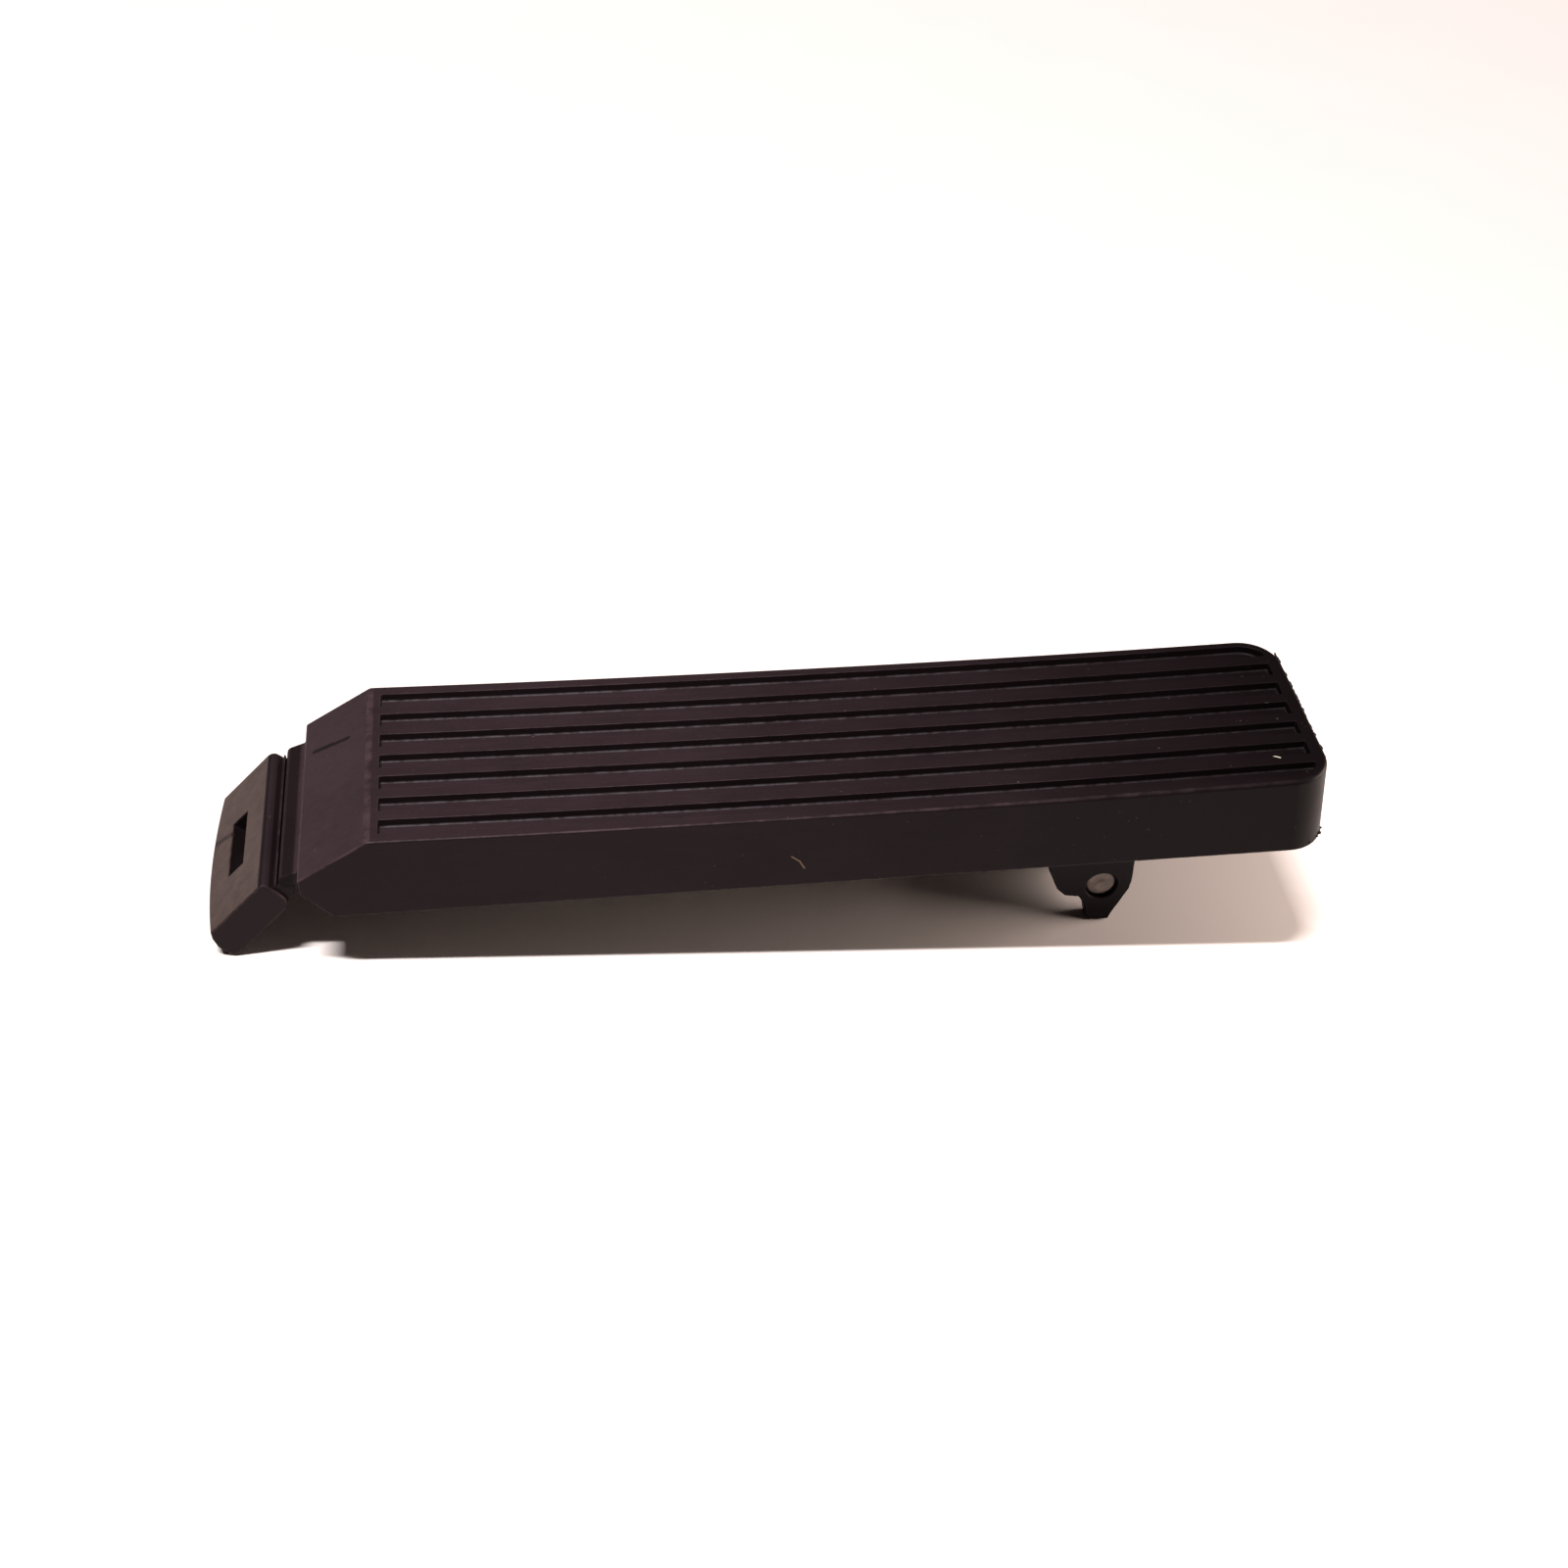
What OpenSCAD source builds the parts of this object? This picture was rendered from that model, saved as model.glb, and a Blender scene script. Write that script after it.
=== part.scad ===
// Floor-hinged foot pedal: a grooved tread shell with a flexible strap hinge,
// a slotted foot at the heel end and a forked linkage bracket underneath.
// Millimetres. X runs from the heel to the toe, Y across, Z up, floor at z = 0.

/* [Tread] */
// Length of the grooved top, from the ramp to the toe edge
tread_len = 206.2; // [170:0.1:250]
// Width of the tread at the heel end
tread_w = 53.1; // [46:0.1:66]
// Width of the tread at the toe end
toe_w = 51.3; // [45:0.1:66]
// Depth of the side skirts below the top
skirt_h = 20; // [17:0.5:28]
// Thickness of the skirts
skirt_wall = 2.6; // [1.8:0.1:4]
// Thickness of the top, grooves included
skin = 4.6; // [4:0.1:7]
// How far the middle of the top sags below its ends
sag = 1.2; // [0:0.1:3]
// Radius of the two toe corners, seen from above
toe_r = 9; // [4:0.5:16]
// Angle at which the toe's end wall leans outwards as it goes down
toe_draft = 5; // [0:0.5:8]
// Pitch of the tread as it lies on the floor, degrees
pitch = 5.3; // [3:0.1:8]

/* [Ramp] */
// Length of the sloping ramp at the heel end
ramp_len = 15.05; // [11:0.05:20]
// Drop of the ramp
ramp_drop = 9.45; // [7:0.05:11]
// Thickness of the ramp plate, measured straight down
ramp_t = 3.95; // [3:0.05:5]

/* [Grooves] */
// Number of lengthwise grooves
groove_n = 7; // [3:2:7]
// Distance from one groove to the next
groove_pitch = 7.13; // [6.4:0.01:7.2]
// Width of a groove
groove_w = 4.25; // [2:0.05:4.4]
// Depth of a groove
groove_d = 1.9; // [0.8:0.1:2.2]
// Distance of the groove ends from the ramp edge
groove_in = 2.3; // [1:0.1:8]
// Distance of the groove ends from the toe edge
groove_out = 3.2; // [2:0.1:10]

/* [Hinge] */
// Width of the tongue and of the strap
strap_w = 43.6; // [36:0.1:46]
// Thickness of the flexible strap
strap_t = 1.5; // [1:0.1:2]
// Height of the thin rib along the middle of the strap
strap_rib = 1.1; // [0.4:0.1:1.3]

/* [Foot] */
// Width of the foot
foot_w = 44.6; // [38:0.1:46]
// Length of the foot's face at its corners
foot_len = 17; // [15.5:0.1:22]
// Thickness of the foot
foot_t = 8.3; // [7.5:0.1:11]
// How far the heel edge bows out in the middle
heel_bow = 2.3; // [0:0.1:4]
// Slope of the foot against the tread, degrees
foot_a = 46.3; // [42:0.1:50]
// Length of the slot in the foot
slot_l = 17.3; // [12:0.1:24]
// Width of the slot
slot_w = 5.1; // [4:0.1:6]
// Distance of the slot's middle from the hinge edge
slot_s = 9.75; // [8.5:0.05:10.5]

/* [Linkage bracket] */
// Overall width of the fork
fork_w = 22; // [19:0.1:24]
// Gap between the two ears
fork_gap = 14; // [11:0.1:15]
// Distance of the pin from the ramp edge
pin_u = 162.3; // [150:0.1:164]
// Depth of the pin below the top
pin_drop = 40.5; // [38:0.1:42]
// Radius of the linkage pin
pin_r = 3.7; // [3:0.05:4]
// Radius of the roller on the pin
roller_r = 5.8; // [5:0.1:6.4]

/* [Core channel] */
// Width of the pressed channel under the top
core_w = 30; // [28:0.5:33]
// Sheet thickness
core_t = 1.5; // [1:0.1:2]
// Depth of the channel's flanges
core_h = 7.5; // [5:0.1:9]

/* [Hidden] */
$fn = 64;

black = [0.10, 0.09, 0.09];
soft_black = [0.14, 0.12, 0.12];
steel = [0.55, 0.54, 0.52];
e = 0.01;

// The top surface, and anything that follows it
function top_w(u) = (u <= 0) ? 0 : sag * (pow(2 * u / tread_len - 1, 2) - 1);
sag_steps = 24;
function along(a, b, drop) = [for (i = [0 : sag_steps])
  let (u = a + (b - a) * i / sag_steps) [u, top_w(u) - drop]];
function back(a, b, drop) = [for (i = [sag_steps : -1 : 0])
  let (u = a + (b - a) * i / sag_steps) [u, top_w(u) - drop]];
function half_w(u) = (tread_w + (toe_w - tread_w) * u / tread_len) / 2;

// The heel end of the shell, in the tread's own frame
nose_u = -ramp_len + 0.3;
nose_w = -ramp_drop - ramp_t;
skirt_u = nose_u + (skirt_h + nose_w) * 0.93;

// The foot, in the tread's own frame: s runs from the hinge edge to the heel, t is depth
foot_u = -ramp_len - 8.25;
foot_top = -ramp_drop - 4.15;
foot_phi = 180 + foot_a;
bead = 1.6;
// the face of the foot's end that the strap is joined to, from its low edge up
strap_end = [[0.1, foot_t - 0.7], [-0.5, foot_t - 1.9], [-0.8, foot_t - 3.2], [-0.95, bead + 1.1]];
function foot_pt(s, t) = [foot_u - s * cos(foot_a) + t * sin(foot_a),
  foot_top - s * sin(foot_a) - t * cos(foot_a)];

// The strap's bending line
hinge_u = -ramp_len - 4.4;
hinge_w = -ramp_drop - 6.4;

// Where the part meets the floor, and its box, give the place of the origin
function nose_pts(b) = [[foot_len + b, 0], [foot_len + 1.4 + b, 1.6],
  [foot_len + 2.5 + b / 2, 3.9], [foot_len + 2.5 + b / 3, foot_t - 1.4],
  [foot_len + 2.2, foot_t - 0.5], [foot_len + 1.5, foot_t]];
function up(p) = p[0] * sin(pitch) + p[1] * cos(pitch);
function ahead(p) = p[0] * cos(pitch) - p[1] * sin(pitch);
heel_pts = [for (p = concat(nose_pts(0), nose_pts(heel_bow))) foot_pt(p[0], p[1])];
low = min([for (p = heel_pts) up(p)]);
x_min = min([for (p = heel_pts) ahead(p)]);
toe_low_u = tread_len + skirt_h * tan(toe_draft);
x_max = ahead([toe_low_u, -skirt_h]);
tip_u = pin_u - 2.2;
tip_w = (low - tip_u * sin(pitch)) / cos(pitch);
move_x = -(x_min + x_max) / 2;
move_z = -low;

module placed() translate([move_x, 0, move_z]) rotate([0, -pitch, 0]) children();
module foot_frame() translate([foot_u, 0, foot_top]) rotate([0, -foot_phi, 0]) children();
// A side profile, drawn in length and height, given its width across
module across(h, y = 0) translate([0, y, 0]) rotate([90, 0, 0])
  linear_extrude(height = h, center = true) children();

// Plan of the tread, smaller all round by d
module plan(d) {
  r = toe_r - d;
  c = tread_len - toe_r;
  a = half_w(0) - d;
  b = half_w(c) - d;
  polygon([[-40, a], [c, b], [c, -b], [-40, -a]]);
  square_h = half_w(c) - toe_r;
  translate([c - 1, -square_h]) square([toe_r - d + 1, 2 * square_h]);
  for (y = [-1, 1]) translate([c, y * square_h]) circle(r = r);
}

// The upright walls inside that plan, tilted about the toe's top edge so that its end leans out
module walls(d) translate([tread_len, 0, 0]) rotate([0, -toe_draft, 0])
  translate([-tread_len, 0, -skirt_h - 3]) linear_extrude(height = skirt_h + 60) plan(d);

module groove(y) across(groove_w, y)
  polygon(concat([[groove_in, 2]], along(groove_in, tread_len - groove_out, groove_d),
    [[tread_len - groove_out, 2]]));

screw_us = [26, 88, 134];
screw_v = 1.5 * groove_pitch;
rivet_us = [145, 179];
rib_us = [14, 50, 82, 114, 192];
rib_t = 1.8;
rib_low = 13;
// how far a rib is rooted in the skin
rib_root = 0.5;
core_a = 6;
core_b = 198;

module shell_ribs() intersection() {
  translate([0, 0, -rib_low]) linear_extrude(height = rib_low - skin / 2) plan(skirt_wall / 2);
  for (u = rib_us) for (y = [-1, 1])
    translate([u - rib_t / 2, y > 0 ? core_w / 2 + 0.4 : -core_w / 2 - 20.4, -rib_low])
      cube([rib_t, 20, rib_low + top_w(u) - skin + rib_root]);
}

module tread_shell() color(black) placed() {
  difference() {
    intersection() {
      across(tread_w + 4) polygon(concat([[nose_u, nose_w], [-ramp_len, -ramp_drop], [0, 0]],
        along(tread_len / sag_steps, tread_len, 0),
        [[toe_low_u + 2, 0], [toe_low_u + 2, -skirt_h], [skirt_u, -skirt_h]]));
      walls(0);
    }
    // the open hollow underneath, clear through the heel end between the skirts
    intersection() {
      across(tread_w) polygon(concat([[nose_u - 6, nose_w], [nose_u, nose_w]],
        along(2, tread_len - skirt_wall, skin),
        [[toe_low_u, -skin], [toe_low_u, -skirt_h - 1], [nose_u - 6, -skirt_h - 1]]));
      walls(skirt_wall);
    }
    intersection() {
      for (i = [0 : groove_n - 1]) groove((i - (groove_n - 1) / 2) * groove_pitch);
      translate([0, 0, -skirt_h]) linear_extrude(height = skirt_h + 4) plan(2.2);
    }
    // blind holes for the core's screws and room for the bracket's rivet heads
    for (u = screw_us) for (y = [-1, 1])
      translate([u, y * screw_v, top_w(u) - skin - 1]) cylinder(r = 1.25, h = 3.4);
    for (u = rivet_us) translate([u, 0, top_w(u) - skin - 1]) cylinder(r = 3.1, h = 2.3);
  }
  // the tongue that the strap is joined to
  across(strap_w) tongue_2d();
  shell_ribs();
}

tongue_tip = -ramp_len - 4.4;
tongue_low = [[tongue_tip, -ramp_drop - 3.8], [tongue_tip + 0.2, -ramp_drop - 4.5]];
strap_root = [nose_u - 1.3, -ramp_drop - 4.65];
module tongue_2d() {
  polygon([[nose_u + 1.5, -ramp_drop - 1.0], [-ramp_len, -ramp_drop - 1.2],
    [tongue_tip + 1.0, -ramp_drop - 2.45], [tongue_tip + 0.5, -ramp_drop - 2.7],
    [tongue_tip + 0.1, -ramp_drop - 3.2], tongue_low[0], tongue_low[1], strap_root,
    [nose_u, nose_w - 0.75],
    [nose_u + 2.2, nose_w + 0.4]]);
}

// The flexible strap: it fills the corner between the foot's end and the tongue, with a thin
// rib standing in the valley between the foot's bead and the tongue
valley = -ramp_drop - 5.5;
rib_u = tongue_tip - 0.65;
module hinge_strap() color(soft_black) placed() across(strap_w - 0.6) {
  rib_top = valley + strap_rib;
  polygon(concat([for (p = strap_end) foot_pt(p[0], p[1])],
    [[rib_u - 0.3, valley], [rib_u - 0.22, rib_top - 0.15], [rib_u - 0.1, rib_top],
    [rib_u + 0.1, rib_top], [rib_u + 0.22, rib_top - 0.15], [rib_u + 0.32, valley + 0.1],
    tongue_low[1], strap_root, strap_root + [-0.1, -strap_t * 0.7],
    strap_root + [-0.7, -strap_t * 1.75], strap_root + [-1.6, -strap_t * 2.8]]));
}

module core_section(inset, lift) across(core_w - 2 * inset)
  polygon(concat(along(core_a - (lift > 0 ? 1 : 0), core_b + (lift > 0 ? 1 : 0), skin + lift),
    [[core_b + (lift > 0 ? 1 : 0), top_w(core_b) - skin - core_h - (lift > 0 ? 2 : 0)],
     [core_a - (lift > 0 ? 1 : 0), top_w(core_a) - skin - core_h - (lift > 0 ? 2 : 0)]]));

module core_channel() color(steel) placed() difference() {
  core_section(0, 0);
  core_section(core_t, core_t);
  for (u = screw_us) for (y = [-1, 1])
    translate([u, y * screw_v, -20]) cylinder(r = 1.6, h = 20);
  for (u = rivet_us) translate([u, 0, -20]) cylinder(r = 2, h = 20);
}

module core_screw(i) {
  u = screw_us[floor((i - 1) / 2)];
  y = (i % 2 == 1 ? -1 : 1) * screw_v;
  seat = top_w(u) - skin - core_t - 0.08;
  color(steel) placed() translate([u, y, seat]) {
    difference() {
      translate([0, 0, -1.8]) cylinder(r = 2.8, h = 1.8);
      translate([-2.9, -0.35, -2.3]) cube([5.8, 0.7, 1.3]);
    }
    translate([0, 0, -0.4]) cylinder(r = 1.25, h = core_t + 2.6);
  }
}
module core_screw_1() core_screw(1);
module core_screw_2() core_screw(2);
module core_screw_3() core_screw(3);
module core_screw_4() core_screw(4);
module core_screw_5() core_screw(5);
module core_screw_6() core_screw(6);

// The bracket's top plate lies just under the channel's roof
roof = min(top_w(rivet_us[0]), top_w(rivet_us[1])) - skin - core_t - 0.05;
plate_t = 3;
module ear_2d() {
  polygon([[pin_u - 12.7, roof - e], [pin_u - 12.7, -pin_drop + 5.4], [pin_u - 10.4, -pin_drop - 0.2],
    [pin_u - 8.5, -pin_drop - 2.3], [pin_u - 5.1, -pin_drop - 2.9], [pin_u - 3.6, -pin_drop - 5.4],
    [tip_u - 0.6, tip_w + 1.0], [tip_u, tip_w], [pin_u + 2.6, tip_w - 0.1],
    [pin_u + 3.1, tip_w + 1.6], [pin_u + 6.6, -pin_drop - 1.4], [pin_u + 7.0, -pin_drop + 1.6],
    [pin_u + 7.0, roof - e]]);
}

module linkage_bracket() color(black) placed() {
  ear = (fork_w - fork_gap) / 2;
  difference() {
    union() {
      translate([rivet_us[0] - 5, -11, roof - plate_t])
        cube([rivet_us[1] - rivet_us[0] + 10, 22, plate_t]);
      for (y = [-1, 1]) across(ear, y * (fork_w - ear) / 2) ear_2d();
      // the web that joins the ears on the heel side
      translate([pin_u - 12.7, -fork_gap / 2 - 1, -pin_drop + 5.4])
        cube([3, fork_gap + 2, roof + pin_drop - 5.4 - 1]);
    }
    translate([pin_u, 0, -pin_drop]) rotate([90, 0, 0])
      cylinder(r = pin_r, h = fork_w + 4, center = true);
    for (u = rivet_us) translate([u, 0, roof - plate_t - 1]) cylinder(r = 2, h = plate_t + 2);
  }
}

module bracket_rivet(u) color(steel) placed() {
  top = top_w(u) - skin + 0.02;
  translate([u, 0, roof - plate_t - 1.4]) cylinder(r = 3.4, h = 1.4);
  translate([u, 0, roof - plate_t - 0.4]) cylinder(r = 2, h = top - roof + plate_t + 0.8);
  translate([u, 0, top]) cylinder(r = 2.9, h = 1.2);
}
module bracket_rivet_heel() bracket_rivet(rivet_us[0]);
module bracket_rivet_toe() bracket_rivet(rivet_us[1]);

pin_recess = 0.9;
module linkage_pin() color(steel) placed() translate([pin_u, 0, -pin_drop]) rotate([90, 0, 0]) {
  half = fork_w / 2 - pin_recess;
  rotate_extrude() polygon([[0, -half], [pin_r - 0.55, -half], [pin_r, -half + 0.55],
    [pin_r, half - 0.55], [pin_r - 0.55, half], [0, half]]);
}

module linkage_roller() color(soft_black) placed() translate([pin_u, 0, -pin_drop])
  rotate([90, 0, 0]) rotate_extrude() {
    half = fork_gap / 2 - 0.35;
    polygon([[pin_r + 0.05, -half], [roller_r - 0.5, -half], [roller_r, -half + 0.5],
      [roller_r, half - 0.5], [roller_r - 0.5, half], [pin_r + 0.05, half]]);
  }

// The foot: a straight block with a bowed heel nose, and a slot right through
module foot_end_2d() polygon(concat([[0.7, 0], [0.0, 0.17], [-0.55, 0.6], [-0.85, 1.1],
  [-0.9, bead]], [for (i = [len(strap_end) - 1 : -1 : 0]) strap_end[i]],
  [[1.2, foot_t - 0.2], [2.2, foot_t], [foot_len, foot_t], [foot_len, 0]]));
module nose_slice(b, y) translate([0, y, 0]) rotate([90, 0, 0])
  linear_extrude(height = e, center = true)
  polygon(concat([[foot_len - 1, 0]], nose_pts(b), [[foot_len - 1, foot_t]]));

plate_s = [2.6, 16];
plate_z = 3.1;
module foot_plate_box(grow) translate([plate_s[0], -foot_w / 2 + 3.2, plate_z])
  cube([plate_s[1] - plate_s[0], foot_w - 6.4, 1.6]);

module foot_block() color(black) placed() foot_frame() difference() {
  union() {
    across(foot_w) foot_end_2d();
    for (y = [-1, 1]) hull() {
      nose_slice(0, y * (foot_w / 2 - e / 2));
      nose_slice(heel_bow, 0);
    }
  }
  translate([slot_s - slot_w / 2, -slot_l / 2, -1]) cube([slot_w, slot_l, foot_t + 2]);
  foot_plate_box();
}

module foot_core_plate() color(steel) placed() foot_frame() difference() {
  foot_plate_box();
  translate([slot_s - slot_w / 2, -slot_l / 2, -1]) cube([slot_w, slot_l, foot_t + 2]);
}

tread_shell();
core_channel();
core_screw_1();
core_screw_2();
core_screw_3();
core_screw_4();
core_screw_5();
core_screw_6();
linkage_bracket();
bracket_rivet_heel();
bracket_rivet_toe();
linkage_pin();
linkage_roller();
hinge_strap();
foot_block();
foot_core_plate();
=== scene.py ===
# Looks for a floor-hinged foot pedal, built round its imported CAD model. Metres, except where a
# name or a helper says mm.
import bpy
import bmesh
import math
from mathutils import Matrix, Vector, noise


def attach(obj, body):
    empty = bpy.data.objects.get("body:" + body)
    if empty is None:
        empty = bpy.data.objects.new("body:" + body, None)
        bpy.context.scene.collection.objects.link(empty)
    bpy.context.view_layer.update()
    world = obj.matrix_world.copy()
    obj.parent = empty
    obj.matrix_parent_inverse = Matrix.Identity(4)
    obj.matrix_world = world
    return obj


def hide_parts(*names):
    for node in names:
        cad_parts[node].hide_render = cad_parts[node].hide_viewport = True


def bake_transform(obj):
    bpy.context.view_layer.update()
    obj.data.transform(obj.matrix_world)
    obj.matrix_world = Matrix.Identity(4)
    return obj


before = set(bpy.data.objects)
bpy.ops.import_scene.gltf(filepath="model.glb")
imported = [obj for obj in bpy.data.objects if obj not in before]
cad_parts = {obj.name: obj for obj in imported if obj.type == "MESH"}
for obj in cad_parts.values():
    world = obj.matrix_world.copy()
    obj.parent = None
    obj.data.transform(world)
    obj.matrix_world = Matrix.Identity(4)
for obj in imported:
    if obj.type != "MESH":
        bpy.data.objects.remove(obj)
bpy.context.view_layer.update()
scene = bpy.context.scene
MM = 0.001

# ---------------------------------------------------------------- sizes, in mm, as the CAD has them
PITCH = math.radians(5.3)          # how the tread lies when the part rests on the floor
MOVE_X, MOVE_Z = -87.488, 35.863   # from the tread's own frame to the part's frame
TREAD_LEN, TREAD_W, TOE_W = 206.2, 53.1, 51.3
SKIRT, SKIN, SAG, TOE_R = 20.0, 4.6, 1.2, 9.0
GROOVE_D = 1.9
TOE_DRAFT = math.radians(5)
RAMP_LEN, RAMP_DROP = 15.05, 9.45
FOOT_A = math.radians(46.3)        # slope of the foot against the tread
FOOT_U, FOOT_TOP = -RAMP_LEN - 8.25, -RAMP_DROP - 4.15
FOOT_LEN, FOOT_T, FOOT_W, HEEL_BOW = 17.0, 8.3, 44.6, 2.3
SLOT_S, SLOT_W, SLOT_L = 9.75, 5.1, 17.3
PIN_U, PIN_DROP, PIN_R, PIN_HALF = 162.3, 40.5, 3.7, 10.1
ROLLER_R, ROLLER_HALF = 5.8, 6.65
RIVETS = {"heel": 145, "toe": 179}
ROOF = -7.152                      # top of the bracket's plate
PLATE_T = 3.0


def tread(u, v, w):
    """A point of the tread's own frame (mm along, across, up from its top) in the part's frame."""
    x = u * math.cos(PITCH) - w * math.sin(PITCH) + MOVE_X
    z = u * math.sin(PITCH) + w * math.cos(PITCH) + MOVE_Z
    return Vector((x, v, z)) * MM


def untread(p):
    """The tread's own frame, in mm, of a point in the part's frame."""
    x, z = p.x / MM - MOVE_X, p.z / MM - MOVE_Z
    return (x * math.cos(PITCH) + z * math.sin(PITCH), p.y / MM,
            z * math.cos(PITCH) - x * math.sin(PITCH))


def foot(s, v, t):
    """A point of the foot's own frame: mm down its slope, across, and in from its face."""
    return tread(FOOT_U - s * math.cos(FOOT_A) + t * math.sin(FOOT_A), v,
                 FOOT_TOP - s * math.sin(FOOT_A) - t * math.cos(FOOT_A))


def sagged(u):
    """Height of the tread's top at u: it dips between its ends."""
    return SAG * ((2 * u / TREAD_LEN - 1) ** 2 - 1) if u > 0 else 0


def half_width(u):
    return (TREAD_W + (TOE_W - TREAD_W) * u / TREAD_LEN) / 2


# ---------------------------------------------------------------- camera
EYE = (-0.079428, -0.380051, 0.343806)
HEADING, ELEVATION, ROLL = math.radians(12.2545), math.radians(38.8228), math.radians(-8.3105)
LENS, SENSOR = 51.75, 36            # mm


def aim(heading, elevation, roll):
    """Camera axes: heading from +Y towards +X, elevation above the floor, and roll."""
    fwd = Vector((math.sin(heading) * math.cos(elevation),
                  math.cos(heading) * math.cos(elevation), -math.sin(elevation)))
    level = Vector((math.cos(heading), -math.sin(heading), 0))
    down = fwd.cross(level)
    right = math.cos(roll) * level + math.sin(roll) * down
    down = -math.sin(roll) * level + math.cos(roll) * down
    return Matrix((right, -down, -fwd)).transposed().to_4x4()


def make_camera():
    data = bpy.data.cameras.new("camera")
    data.sensor_width = SENSOR
    data.lens = LENS
    data.clip_start = 0.01
    cam = bpy.data.objects.new("camera", data)
    scene.collection.objects.link(cam)
    cam.matrix_world = Matrix.Translation(EYE) @ aim(HEADING, ELEVATION, ROLL)
    scene.camera = cam


make_camera()


# ---------------------------------------------------------------- mesh helpers
def link(name, mesh):
    ob = bpy.data.objects.new(name, mesh)
    scene.collection.objects.link(ob)
    return ob


def mesh_object(name, bm):
    bmesh.ops.recalc_face_normals(bm, faces=bm.faces)
    me = bpy.data.meshes.new(name)
    bm.to_mesh(me)
    bm.free()
    return link(name, me)


def apply_modifiers(ob):
    dg = bpy.context.evaluated_depsgraph_get()
    dg.update()
    me = bpy.data.meshes.new_from_object(ob.evaluated_get(dg))
    ob.modifiers.clear()
    ob.data = me
    return ob


def round_edges(ob, weigh, widest=1.0, segments=3):
    """Round the object's edges: weigh(edge, angle in degrees) gives each one's radius in mm.

    The rounded faces are marked in the mesh's edge_wear attribute.
    """
    bm = bmesh.new()
    bm.from_mesh(ob.data)
    bm.normal_update()
    layer = bm.edges.layers.float.new("bevel_weight_edge")
    for e in bm.edges:
        if len(e.link_faces) == 2:
            angle = math.degrees(e.calc_face_angle_signed(0))
            if abs(angle) > 20:
                e[layer] = min(1.0, weigh(e, angle) / widest)
    bm.to_mesh(ob.data)
    bm.free()
    ob.data.materials.clear()
    for _ in range(2):
        ob.data.materials.append(None)
    m = ob.modifiers.new("round", "BEVEL")
    m.limit_method = "WEIGHT"
    m.width = widest * MM
    m.segments = segments
    m.material = 1
    m.use_clamp_overlap = False
    apply_modifiers(ob)
    me = ob.data
    wear = me.attributes.new("edge_wear", "FLOAT", "FACE")
    for i, p in enumerate(me.polygons):
        wear.data[i].value = float(p.material_index)
        p.material_index = 0
    me.materials.clear()
    return smooth(ob)


def rounded_copy(node, name, weigh, **how):
    """A copy of a CAD node with its edges rounded, standing for that node."""
    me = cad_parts[node].data.copy()
    bm = bmesh.new()
    bm.from_mesh(me)
    bmesh.ops.remove_doubles(bm, verts=bm.verts, dist=0.002 * MM)
    bmesh.ops.dissolve_limit(bm, angle_limit=math.radians(0.05), verts=bm.verts, edges=bm.edges)
    bm.to_mesh(me)
    bm.free()
    ob = round_edges(link(name, me), weigh, **how)
    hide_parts(node)
    return ob


def smooth(ob, sharp=38):
    me = ob.data
    me.shade_smooth()
    bm = bmesh.new()
    bm.from_mesh(me)
    for e in bm.edges:
        e.smooth = len(e.link_faces) == 2 and e.calc_face_angle(0) < math.radians(sharp)
    bm.to_mesh(me)
    bm.free()
    m = ob.modifiers.new("weighted", "WEIGHTED_NORMAL")
    m.keep_sharp = True
    return apply_modifiers(ob)


def lathe(name, profile, place, steps=48):
    """A turned piece: profile is (radius, along) in mm, place(angle, radius, along) its points."""
    bm = bmesh.new()
    rings = []
    for r, h in profile:
        count = steps if r > 0 else 1
        rings.append([bm.verts.new(place(2 * math.pi * i / steps, r, h)) for i in range(count)])
    for a, b in zip(rings, rings[1:]):
        for i in range(steps):
            j = (i + 1) % steps
            if len(a) == 1:
                bm.faces.new((a[0], b[i], b[j]))
            elif len(b) == 1:
                bm.faces.new((a[i], b[0], a[j]))
            else:
                bm.faces.new((a[i], b[i], b[j], a[j]))
    return smooth(mesh_object(name, bm))


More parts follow.
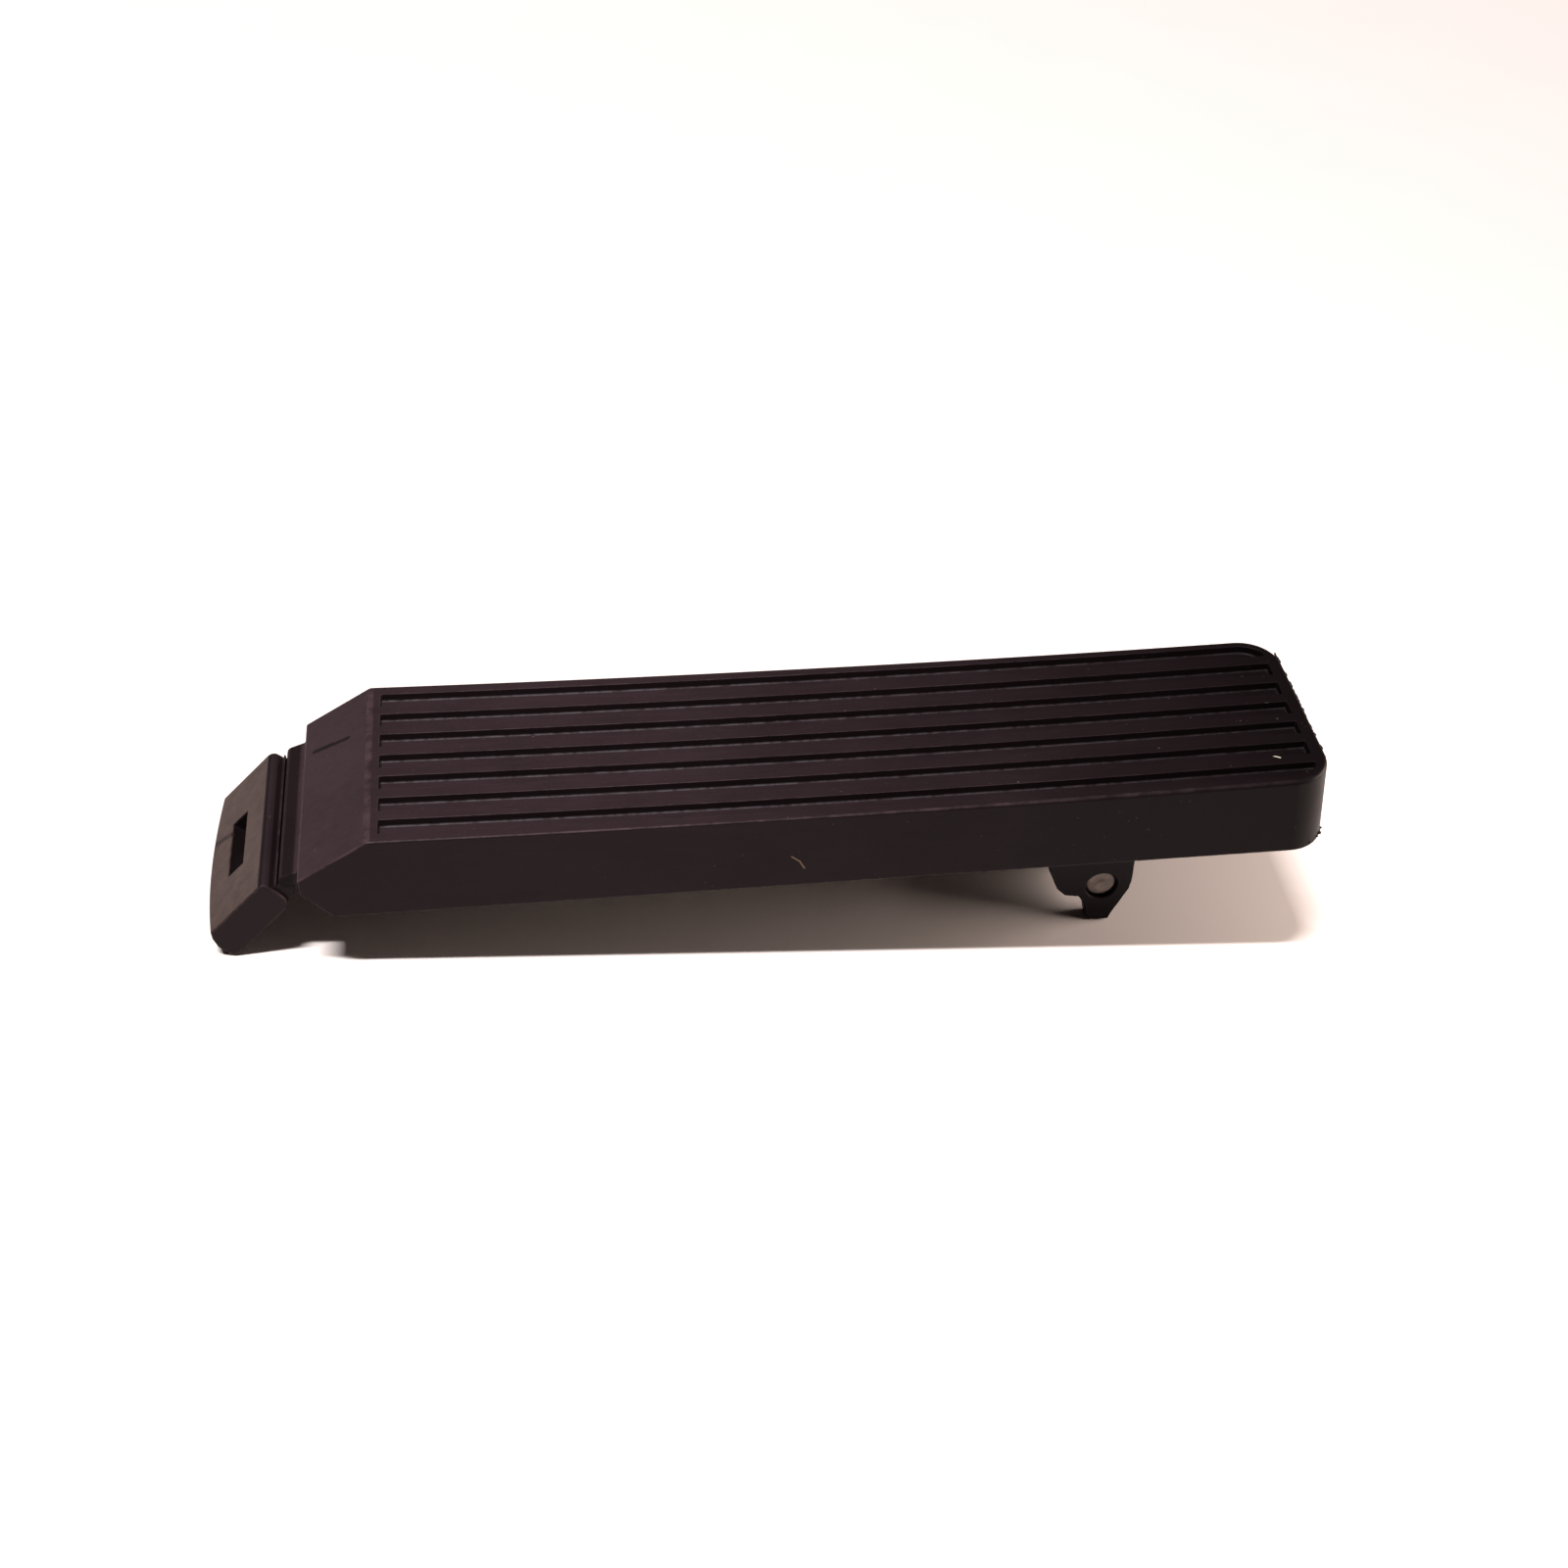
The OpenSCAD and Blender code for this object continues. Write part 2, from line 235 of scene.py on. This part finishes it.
# ---------------------------------------------------------------- materials
class Finish:
    """Builds one material's nodes. Sizes are in mm in the object's own coordinates."""

    def __init__(self, name):
        self.material = bpy.data.materials.new(name)
        self.material.use_nodes = True
        self.tree = self.material.node_tree
        self.shader = self.tree.nodes["Principled BSDF"]
        self.place = self.tree.nodes.new("ShaderNodeTexCoord").outputs["Object"]

    def node(self, kind, **values):
        n = self.tree.nodes.new(kind)
        for key, value in values.items():
            setattr(n, key, value)
        return n

    def join(self, a, b):
        self.tree.links.new(a, b)

    def feed(self, socket, value):
        if isinstance(value, bpy.types.NodeSocket):
            self.join(value, socket)
        else:
            socket.default_value = value

    def maths(self, what, a, b=0.0, clamp=False):
        n = self.node("ShaderNodeMath", operation=what, use_clamp=clamp)
        self.feed(n.inputs[0], a)
        self.feed(n.inputs[1], b)
        return n.outputs[0]

    def noise(self, size, detail=3.0, rough=0.55, stretch=(1, 1, 1)):
        """Noise from 0 to 1 with features about size mm across, longer where stretch is over 1."""
        m = self.node("ShaderNodeMapping")
        m.inputs["Scale"].default_value = [1 / s for s in stretch]
        self.join(self.place, m.inputs["Vector"])
        n = self.node("ShaderNodeTexNoise")
        n.inputs["Scale"].default_value = 1 / (size * MM)
        n.inputs["Detail"].default_value = detail
        n.inputs["Roughness"].default_value = rough
        self.join(m.outputs["Vector"], n.inputs["Vector"])
        return n.outputs["Fac"]

    def between(self, value, low, high, to_low=0.0, to_high=1.0):
        n = self.node("ShaderNodeMapRange", clamp=True)
        for socket, v in zip(n.inputs, (value, low, high, to_low, to_high)):
            self.feed(socket, v)
        return n.outputs["Result"]

    def mix(self, share, a, b):
        n = self.node("ShaderNodeMix", data_type="RGBA")
        self.feed(n.inputs["Factor"], share)
        self.feed(n.inputs[6], a if isinstance(a, bpy.types.NodeSocket) else (*a, 1))
        self.feed(n.inputs[7], b if isinstance(b, bpy.types.NodeSocket) else (*b, 1))
        return n.outputs[2]

    def painted(self, name):
        return self.node("ShaderNodeAttribute", attribute_name=name).outputs["Fac"]

    def streak(self, a, b, radius, soft=0.5):
        """1 within radius mm of the line from a to b, falling to 0 over its soft share."""
        along = b - a
        step = self.node("ShaderNodeVectorMath", operation="SUBTRACT")
        self.join(self.place, step.inputs[0])
        step.inputs[1].default_value = a
        dot = self.node("ShaderNodeVectorMath", operation="DOT_PRODUCT")
        self.join(step.outputs[0], dot.inputs[0])
        dot.inputs[1].default_value = along / along.length_squared
        share = self.maths("ADD", dot.outputs["Value"], 0.0, clamp=True)
        reach = self.node("ShaderNodeVectorMath", operation="SCALE")
        reach.inputs[0].default_value = along
        self.join(share, reach.inputs["Scale"])
        gap = self.node("ShaderNodeVectorMath", operation="DISTANCE")
        self.join(step.outputs[0], gap.inputs[0])
        self.join(reach.outputs[0], gap.inputs[1])
        return self.between(gap.outputs["Value"], radius * MM * (1 - soft), radius * MM, 1.0, 0.0)

    def bump(self, height, depth, under=None):
        """Bump of depth mm from a 0 to 1 height."""
        n = self.node("ShaderNodeBump")
        n.inputs["Distance"].default_value = depth * MM
        self.join(height, n.inputs["Height"])
        if under is not None:
            self.join(under, n.inputs["Normal"])
        return n.outputs["Normal"]

    def finish(self, colour, roughness, normal, specular=0.5, metallic=0.0):
        s = self.shader.inputs
        self.feed(s["Base Color"], colour)
        self.feed(s["Roughness"], roughness)
        self.join(normal, s["Normal"])
        s["Specular IOR Level"].default_value = specular
        s["Metallic"].default_value = metallic
        return self.material


# grey dust in the groove feet, which also stands as a painted highlight on their fillets
GREY_DUST_HIGHLIGHT = (0.052, 0.046, 0.053)
PALE_DUST = (0.16, 0.13, 0.12)
# painted shade: the black is deepened towards the toe, where the top catches less sheen
TOE_SHADE_SPAN = (-0.03, 0.12)             # metres of x over which the black deepens towards the toe


def shade(colour, by):
    return tuple(c * by for c in colour)


def moulding(name, base, worn_and_sheen, rough=0.55, specular=0.3, grain=0.012, marks=(), painted_shade_x=None):
    """Black moulded plastic: mottled, finely grained, paler where painted as rubbed (real rubbing,
    and painted sheen on the ramp and the foot's face) or on edges; darker with painted shade
    towards the toe and where in_shade is set; grey dust and a painted highlight in the groove feet.

    marks are streaks (from, to, radius in mm, colour); the last argument is a stretch of x with
    painted shade below its first value and none past its second.
    """
    f = Finish(name)
    broad = f.between(f.noise(26, 3), 0.32, 0.68)
    fine = f.noise(0.34, 2, 0.7)
    flow = f.noise(1.6, 3, 0.6, stretch=(7, 1, 1))
    colour = f.mix(broad, shade(base, 0.86), shade(base, 1.13))
    colour = f.mix(f.between(flow, 0.45, 0.75, 0.0, 0.35), colour, shade(base, 1.35))
    colour = f.mix(f.between(fine, 0.56, 0.78, 0.0, 0.55), colour, shade(base, 1.9))
    along = f.node("ShaderNodeSeparateXYZ")
    f.join(f.place, along.inputs[0])
    # painted shade deepening the black towards the toe
    toe_shade = f.between(along.outputs["X"], *TOE_SHADE_SPAN)
    colour = f.mix(toe_shade, colour, f.mix(0.95, colour, shade(base, 0.12)))
    # paler where painted as rubbed: real rubbing, painted light on the ramp, and painted sheen with
    # wear on the foot's face
    patch = f.between(f.noise(3.2, 5, 0.75), 0.38, 0.64, 0.50, 1.0)
    rub_and_sheen = f.maths("MULTIPLY", f.painted("face_wear_and_sheen"), patch)
    colour = f.mix(rub_and_sheen, colour, worn_and_sheen)
    edge = f.maths("MULTIPLY", f.painted("edge_wear"), f.between(f.noise(3.5, 4, 0.7), 0.40, 0.62))
    heel_end = f.maths("SUBTRACT", 1.0, toe_shade)
    edge = f.maths("MULTIPLY", edge, heel_end)
    colour = f.mix(f.maths("MULTIPLY", edge, 0.85), colour, worn_and_sheen)
    # grey dust and painted highlight along the groove feet
    dust_highlight = f.maths("MULTIPLY", f.painted("groove_dust_and_highlight"), f.between(f.noise(2.2, 3, 0.6), 0.36, 0.60))
    dust_highlight = f.maths("MULTIPLY", dust_highlight, f.between(heel_end, 0.2, 1.0, 0.12, 0.7))
    colour = f.mix(dust_highlight, colour, GREY_DUST_HIGHLIGHT)
    dust = f.between(f.noise(0.8, 1, 0.5), 0.775, 0.82)
    colour = f.mix(f.maths("MULTIPLY", dust, 0.3), colour, PALE_DUST)
    colour = f.mix(f.maths("MULTIPLY", f.painted("in_shade"), 0.6), colour, shade(base, 0.15))
    # painted shade below a stretch of x: the tongue's end, in shadow under the ramp
    if painted_shade_x:
        dark = f.between(along.outputs["X"], painted_shade_x[0] * MM, painted_shade_x[1] * MM, 0.85, 0.0)
        colour = f.mix(dark, colour, shade(base, 0.3))
    for a, b, radius, tint in marks:
        colour = f.mix(f.streak(a, b, radius), colour, tint)
    roughness = f.between(broad, 0, 1, rough - 0.05, rough + 0.06)
    normal = f.bump(f.noise(9, 2), 0.10)
    normal = f.bump(fine, grain, normal)
    normal = f.bump(flow, grain, normal)
    return f.finish(colour, roughness, normal, specular)


def steel(name, base, stain, rough, brush=(1, 1, 1), depth=0.004):
    """Dull steel with drawn lines along brush, and stains."""
    f = Finish(name)
    lines = f.noise(0.25, 2, 0.6, stretch=brush)
    cloud = f.noise(4, 4, 0.6)
    colour = f.mix(f.between(cloud, 0.35, 0.65), base, shade(base, 0.72))
    spots = f.between(f.noise(1.3, 4, 0.7), 0.55, 0.70)
    colour = f.mix(f.maths("MULTIPLY", spots, 0.6), colour, stain)
    roughness = f.between(cloud, 0.3, 0.7, rough - 0.08, rough + 0.12)
    return f.finish(colour, roughness, f.bump(lines, depth), 0.5, 1.0)


BLACK = (0.0175, 0.0107, 0.0127)
# how far the paler colour covers the ramp as painted light, and how far other places are darkened as
# painted shade
RAMP_PAINTED_LIGHT = 0.25
SIDE_SHADE, SLOT_SHADE, BEAD_SHADE, BEAD_CREST_SHADE = 0.4, 1.4, 1.1, 0.3
# the foot face's paler colour: real wear and painted sheen
FOOT_WEAR_SHEEN = (0.050, 0.032, 0.028)
SCUFF = shade(BLACK, 0.35)
LINT = (0.42, 0.38, 0.33)
STRAW = (0.14, 0.10, 0.06)


def ramp_point(down, v):
    """A point of the heel ramp, down mm along its length from the crease."""
    return tread(-down, v, -down * RAMP_DROP / RAMP_LEN)


# painted shade on the tongue's end, which lies in shadow under the ramp
TONGUE_SHADE_BAND = (-102.8, -102.2)       # mm of x where the tongue's dark end stops
TREAD_MARKS = [(ramp_point(12.6, 14.4), ramp_point(8.6, 13.5), 0.8, SCUFF),
               (ramp_point(8.0, 13.2), ramp_point(4.8, 12.5), 0.7, SCUFF),
               (tread(194.4, -16.3, -0.3), tread(195.9, -17.1, -0.3), 0.22, LINT),
               (tread(88.2, -26.15, -11.7), tread(89.9, -26.15, -13.1), 0.22, STRAW),
               (tread(89.9, -26.15, -13.1), tread(91.0, -26.15, -15.2), 0.22, STRAW)]
FOOT_MARKS = [(foot(12.0, 5.4, 0), foot(15.5, 6.5, 0), 0.9, shade(FOOT_WEAR_SHEEN, 0.3)),
              (foot(15.5, 6.5, 0), foot(18.4, 7.2, 0), 1.0, shade(FOOT_WEAR_SHEEN, 0.3))]
tread_black = moulding("tread_black", BLACK, shade(BLACK, 2.4), 0.40, 0.045, marks=TREAD_MARKS,
                       painted_shade_x=TONGUE_SHADE_BAND)
foot_black = moulding("foot_black", shade(BLACK, 0.9), FOOT_WEAR_SHEEN, 0.5, 0.07, marks=FOOT_MARKS)
# the rubber's base is darkened as painted shade for the strap's shadowed ends
rubber = moulding("strap_rubber", shade(BLACK, 0.6), shade(BLACK, 1.6), 0.5, 0.06)
bracket_black = moulding("bracket_black", shade(BLACK, 0.5), shade(BLACK, 1.8), 0.45, 0.08, 0.03)
nylon = moulding("roller_nylon", shade(BLACK, 0.7), shade(BLACK, 2.2), 0.40, 0.2)
pressed = steel("pressed_steel", (0.36, 0.34, 0.31), (0.14, 0.09, 0.05), 0.42, (14, 1, 1))
pin_steel = steel("pin_steel", (0.12, 0.10, 0.09), (0.05, 0.035, 0.03), 0.48, (1, 1, 1), 0.01)
zinc = steel("fastener_zinc", (0.46, 0.44, 0.38), (0.25, 0.20, 0.10), 0.35)


def dress(ob, body, material):
    """Give a piece its material and slot, and the body it rides on, if it rides on one alone."""
    ob.data.materials.clear()
    ob.data.materials.append(material)
    if body:
        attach(ob, body)
    return ob


# ---------------------------------------------------------------- tread shell
def on_rim(u, v):
    """Whether a point of the tread's plan lies on its outline."""
    corner = math.hypot(max(u - TREAD_LEN + TOE_R, 0), max(abs(v) - half_width(u) + TOE_R, 0))
    return abs(abs(v) - half_width(u)) < 0.25 or u > TREAD_LEN - 0.3 or corner > TOE_R - 0.3


def tread_radius(e, angle):
    """Radius in mm of an edge of the tread, by where it lies."""
    a, b = (untread(p.co) for p in e.verts)
    u, v, w = ((p + q) / 2 for p, q in zip(a, b))
    depth = sagged(u) - w
    rim = on_rim(u, v)
    if u > -0.3 and abs(depth) < 0.3:
        if u < 0.3 and abs(v) < half_width(0) - 0.3:
            return 0.8                          # crease between the top and the ramp
        if rim:
            return 0.45 + max(0, u - 90) / 116 * 0.75      # rounder towards the toe
        return 0.14                             # lips of the grooves
    if abs(depth - GROOVE_D) < 0.3 and angle < 0 and u > 1:
        return 0.35                             # feet of the groove walls
    if rim or u < 0:
        return 0.4
    return 0.25


def paint_tread(ob):
    """Mark the ramp's painted light, painted shade on sides and under the rim, and the groove feet's
    dust and painted highlight.
    """
    me = ob.data
    rounded = me.attributes["edge_wear"]
    dust = me.attributes.new("groove_dust_and_highlight", "FLOAT", "FACE")
    shaded = me.attributes.new("in_shade", "FLOAT", "FACE")
    wear = me.attributes.new("face_wear_and_sheen", "FLOAT", "FACE")
    for i, p in enumerate(me.polygons):
        # the ramp painted paler as painted light; the side walls in painted shade
        wear.data[i].value = RAMP_PAINTED_LIGHT * (untread(p.center)[0] < 0.5 and p.normal.z > 0.4)
        shaded.data[i].value = SIDE_SHADE * (abs(p.normal.y) > 0.9)
        if rounded.data[i].value < 0.5:
            continue
        u, v, w = untread(p.center)
        depth = sagged(u) - w
        groove = 2 < u < TREAD_LEN - 3 and abs(v) < half_width(u) - 2
        # groove feet: dust and painted highlight; the turn below the rim: painted shade
        if groove and GROOVE_D - 0.45 < depth < GROOVE_D + 0.1:
            dust.data[i].value = 1.0
            rounded.data[i].value = 0.0
        elif u > 0 and not groove and depth < 2 and p.normal.z < 0.5:
            shaded.data[i].value = 1.0
            rounded.data[i].value = 0.0


body = rounded_copy("tread_shell", "tread_body", tread_radius)
paint_tread(body)
dress(body, "tread", tread_black)


# ---------------------------------------------------------------- moulding flash at the toe
def flash(name, path, count, reach, height):
    """A ragged fin of flash along path(share), which gives (u, v, w) and its outward (u, v)."""
    bm = bmesh.new()
    rings = []
    for i in range(count + 1):
        (u, v, w), (du, dv) = path(i / count)
        rough = (noise.noise(Vector((i * 0.31, reach * 9, height)))
                 + 0.5 * noise.noise(Vector((i * 0.9, 3, 1))))
        fade = math.sin(math.pi * (0.02 + 0.96 * i / count)) ** 0.4
        out = reach * max(0.08, 0.45 + 1.2 * rough) * fade
        rings.append([bm.verts.new(tread(u + du * r, v + dv * r, w + h))
                      for r, h in ((-0.3, height / 2), (out, 0.1 * rough), (-0.3, -height / 2))])
    for a, b in zip(rings, rings[1:]):
        for k in range(3):
            n = (k + 1) % 3
            bm.faces.new((a[k], a[n], b[n], b[k]))
    bm.faces.new(rings[0])
    bm.faces.new(rings[-1])
    return dress(mesh_object(name, bm), "tread", tread_black)


def toe_top(share):
    """Along the toe's end, just under its rim."""
    return (TREAD_LEN, 21 - 38 * share, -0.8), (1, 0)


def toe_corner(share):
    """Round the toe's corner at negative y, along the skirt's lower edge."""
    angle = math.radians(-62 + 60 * share)
    lean = SKIRT * math.tan(TOE_DRAFT)
    centre_u = TREAD_LEN - TOE_R + lean - 0.3
    centre_v = half_width(TREAD_LEN - TOE_R) - TOE_R
    out = (math.cos(angle), math.sin(angle))
    return (centre_u + TOE_R * out[0], TOE_R * out[1] - centre_v, -SKIRT + 1.0), out


flash("toe_flash_top", toe_top, 70, 0.6, 0.7)
flash("toe_flash_corner", toe_corner, 32, 0.75, 1.5)


# ---------------------------------------------------------------- foot
def foot_outline(bow):
    """The foot's side outline as (s, t), its heel pushed out by bow."""
    return [(2.2, FOOT_T), (1.2, FOOT_T - 0.2), (0.1, FOOT_T - 0.7), (-0.5, FOOT_T - 1.9),
            (-0.8, FOOT_T - 3.2), (-0.95, 2.7), (-0.9, 1.6), (-0.85, 1.1), (-0.55, 0.6),
            (0.0, 0.17), (0.7, 0), (FOOT_LEN * 0.5, 0), (FOOT_LEN + bow, 0),
            (FOOT_LEN + 1.4 + bow, 1.6), (FOOT_LEN + 2.5 + bow / 2, 3.9),
            (FOOT_LEN + 2.5 + bow / 3, FOOT_T - 1.4), (FOOT_LEN + 2.2, FOOT_T - 0.5),
            (FOOT_LEN + 1.5, FOOT_T)]


def foot_radius(e, angle):
    """Radius in mm of an edge of the foot."""
    a, b = (p.co for p in e.verts)
    across = abs(a.y - b.y) > 0.9 * (a - b).length
    near, far = sorted((abs(a.y) / MM, abs(b.y) / MM))
    if near > FOOT_W / 2 - 0.1:
        return 0.5                              # the outlines of its two ends
    if far < SLOT_L / 2 + 0.1 and not across:
        return 0.3                              # the slot's short sides
    return 0.45 if across and angle > 24 else 0.3


def make_foot():
    """The foot: a loft across its width, with its slot cut and its edges rounded; marked with wear
    and painted sheen on its face, and painted shade on its sides, slot and bead.
    """
    stations = 24
    bm = bmesh.new()
    rings = []
    for i in range(stations + 1):
        v = FOOT_W * (i / stations - 0.5)
        bow = HEEL_BOW * (1 - (2 * v / FOOT_W) ** 2)
        rings.append([bm.verts.new(foot(s, v, t)) for s, t in foot_outline(bow)])
    for a, b in zip(rings, rings[1:]):
        for k in range(len(a)):
            n = (k + 1) % len(a)
            bm.faces.new((a[k], a[n], b[n], b[k]))
    bm.faces.new(rings[0])
    bm.faces.new(rings[-1])
    ob = mesh_object("foot_body", bm)
    bm = bmesh.new()
    ends = []
    for t in (-1, FOOT_T + 1):
        ends.append([bm.verts.new(foot(SLOT_S + i * SLOT_W / 2, j * SLOT_L / 2, t))
                     for i, j in ((-1, -1), (1, -1), (1, 1), (-1, 1))])
    for k in range(4):
        n = (k + 1) % 4
        bm.faces.new((ends[0][k], ends[0][n], ends[1][n], ends[1][k]))
    for ring in ends:
        bm.faces.new(ring)
    cutter = mesh_object("slot_cutter", bm)
    m = ob.modifiers.new("slot", "BOOLEAN")
    m.operation = "DIFFERENCE"
    m.solver = "EXACT"
    m.object = cutter
    apply_modifiers(ob)
    bpy.data.objects.remove(cutter)
    round_edges(ob, foot_radius)
    me = ob.data
    wear = me.attributes.new("face_wear_and_sheen", "FLOAT", "FACE")
    shaded = me.attributes.new("in_shade", "FLOAT", "FACE")
    rounded = me.attributes["edge_wear"]
    face = foot(1, 0, 0)
    out = (foot(1, 0, -1) - face).normalized()
    down = (foot(2, 0, 0) - face).normalized()
    for i, p in enumerate(me.polygons):
        s, t = (p.center - face).dot(down) / MM + 1, (face - p.center).dot(out) / MM
        bead = s < 1
        in_slot = (abs(s - SLOT_S) < SLOT_W / 2 + 0.05
                   and abs(p.center.y) < (SLOT_L / 2 + 0.05) * MM)
        # the foot's face: real wear and painted sheen
        wear.data[i].value = float(p.normal.dot(out) > 0.9 and not bead)
        shaded.data[i].value = SLOT_SHADE if in_slot else SIDE_SHADE * (abs(p.normal.y) > 0.9)
        # the bead: painted shade, lighter along its lit crest
        if bead and p.normal.y > -0.5:
            shaded.data[i].value = BEAD_CREST_SHADE if 0.25 < t < 1.9 else BEAD_SHADE
            rounded.data[i].value = 0.0
    return ob


foot_body = make_foot()
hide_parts("foot_block")
dress(foot_body, "foot", foot_black)
plate = rounded_copy("foot_core_plate", "foot_plate", lambda e, a: 0.15, widest=0.2)
dress(plate, "foot", pressed)


# ---------------------------------------------------------------- strap
def make_strap():
    ob = rounded_copy("hinge_strap", "strap_body", lambda e, a: 0.12 if a > 35 else 0.0,
                      widest=0.2, segments=2)
    bm = bmesh.new()
    bm.from_mesh(ob.data)
    for _ in range(2):
        long = [e for e in bm.edges
                if e.calc_length() > 0.5 * MM and abs(e.verts[0].co.y - e.verts[1].co.y) < 0.01 * MM]
        bmesh.ops.subdivide_edges(bm, edges=long, cuts=1, use_grid_fill=True)
    bm.to_mesh(ob.data)
    bm.free()
    return smooth(ob)


strap = dress(make_strap(), None, rubber)
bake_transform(strap)

# ---------------------------------------------------------------- below the toe
channel = rounded_copy("core_channel", "channel_body", lambda e, a: 0.5 if a > 0 else 0.3)
dress(channel, "tread", pressed)
bracket = rounded_copy("linkage_bracket", "bracket_body", lambda e, a: 0.4)
dress(bracket, "tread", bracket_black)


def on_pin(angle, r, h):
    return tread(PIN_U + r * math.cos(angle), h, -PIN_DROP + r * math.sin(angle))


def mirrored(half):
    """A profile made whole from its half at the positive end."""
    return [(r, -h) for r, h in reversed(half)] + half


pin_end = [(PIN_R, PIN_HALF - 0.7), (PIN_R - 0.16, PIN_HALF - 0.34), (PIN_R - 0.5, PIN_HALF - 0.1),
           (PIN_R - 0.9, PIN_HALF), (1.1, PIN_HALF), (0.8, PIN_HALF - 0.12), (0, PIN_HALF - 0.2)]
pin = lathe("pin_body", mirrored(pin_end), on_pin)
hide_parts("linkage_pin")
dress(pin, "tread", pin_steel)

roller_end = [(ROLLER_R - 0.12, 0), (ROLLER_R, 2.5), (ROLLER_R, ROLLER_HALF - 0.55),
              (ROLLER_R - 0.16, ROLLER_HALF - 0.16), (ROLLER_R - 0.55, ROLLER_HALF),
              (PIN_R + 0.45, ROLLER_HALF), (PIN_R + 0.15, ROLLER_HALF - 0.12),
              (PIN_R + 0.05, ROLLER_HALF - 0.4)]
bored = mirrored(roller_end)
roller = lathe("roller_body", bored + bored[:1], on_pin)
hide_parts("linkage_roller")
dress(roller, "roller", nylon)


def domed_rivet(end, u):
    """A rivet through the plate and the channel, with a low dome below and a flat head above."""
    top = sagged(u) - SKIN + 0.02
    low = ROOF - PLATE_T
    dome = [(0, low - 1.4), (1.2, low - 1.34), (2.2, low - 1.1), (3.0, low - 0.65), (3.4, low - 0.15)]
    shank = [(3.4, low), (2.0, low), (2.0, top)]
    head = [(2.9, top), (2.9, top + 0.9), (2.6, top + 1.2), (0, top + 1.2)]
    ob = lathe("rivet_" + end, dome + shank + head,
               lambda angle, r, h: tread(u + r * math.cos(angle), r * math.sin(angle), h), 40)
    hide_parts("bracket_rivet_" + end)
    return dress(ob, "tread", zinc)


for end, u in RIVETS.items():
    domed_rivet(end, u)
for i in range(1, 7):
    screw = rounded_copy(f"core_screw_{i}", f"screw_{i}", lambda e, a: 0.3 if a > 0 else 0.0,
                         widest=0.4, segments=2)
    dress(screw, "tread", zinc)

# ---------------------------------------------------------------- stage
FLOOR_WHITE = (0.60, 0.545, 0.535)
FLOOR_REACH = 3                    # metres each way


def paper(name, reach, colour):
    """A sheet of white paper lying at z = 0."""
    me = bpy.data.meshes.new(name)
    corners = [(reach * x, reach * y, 0) for x, y in ((-1, -1), (1, -1), (1, 1), (-1, 1))]
    me.from_pydata(corners, [], [(0, 1, 2, 3)])
    ob = link(name, me)
    f = Finish(name)
    tone = f.mix(f.between(f.noise(40, 3), 0.3, 0.7), shade(colour, 0.985), colour)
    ob.data.materials.append(f.finish(tone, 0.85, f.bump(f.noise(1.5, 3), 0.02), 0.2))


paper("floor", FLOOR_REACH, FLOOR_WHITE)

# ---------------------------------------------------------------- light
def area_light(name, place, towards, long_axis, size, watts, colour):
    """A rectangular light at place, shining at towards, its longer side along long_axis."""
    lamp = bpy.data.lights.new(name, "AREA")
    lamp.shape = "RECTANGLE"
    lamp.size, lamp.size_y = size
    lamp.energy = watts
    lamp.color = colour
    back = (Vector(place) - Vector(towards)).normalized()
    side = Vector(long_axis)
    side = (side - side.dot(back) * back).normalized()
    turn = Matrix((side, back.cross(side), back)).transposed().to_4x4()
    ob = bpy.data.objects.new(name, lamp)
    scene.collection.objects.link(ob)
    ob.matrix_world = Matrix.Translation(place) @ turn


area_light("strip", place=(-1.16, -0.80, 4.0), towards=(0, 0, 0), long_axis=(1, 0, 0),
           size=(1.2, 0.16), watts=400, colour=(1.0, 0.975, 0.95))
area_light("side_fill", place=(0.31, -0.02, 0.09), towards=(0.08, 0, 0), long_axis=(0, 1, 0),
           size=(0.16, 0.12), watts=1.1, colour=(1.0, 0.86, 0.76))


def make_world():
    """A pale backdrop beyond the floor, which lights the object only faintly."""
    world = bpy.data.worlds.new("world")
    scene.world = world
    world.use_nodes = True
    tree = world.node_tree
    faint = tree.nodes["Background"]
    faint.inputs["Color"].default_value = (1.0, 0.72, 0.68, 1)
    faint.inputs["Strength"].default_value = 0.030
    pale = tree.nodes.new("ShaderNodeBackground")
    pale.inputs["Color"].default_value = (0.95, 0.92, 0.88, 1)
    seen = tree.nodes.new("ShaderNodeLightPath").outputs["Is Camera Ray"]
    both = tree.nodes.new("ShaderNodeMixShader")
    tree.links.new(seen, both.inputs["Fac"])
    tree.links.new(faint.outputs[0], both.inputs[1])
    tree.links.new(pale.outputs[0], both.inputs[2])
    tree.links.new(both.outputs[0], tree.nodes["World Output"].inputs["Surface"])


make_world()
scene.view_settings.view_transform = "Standard"
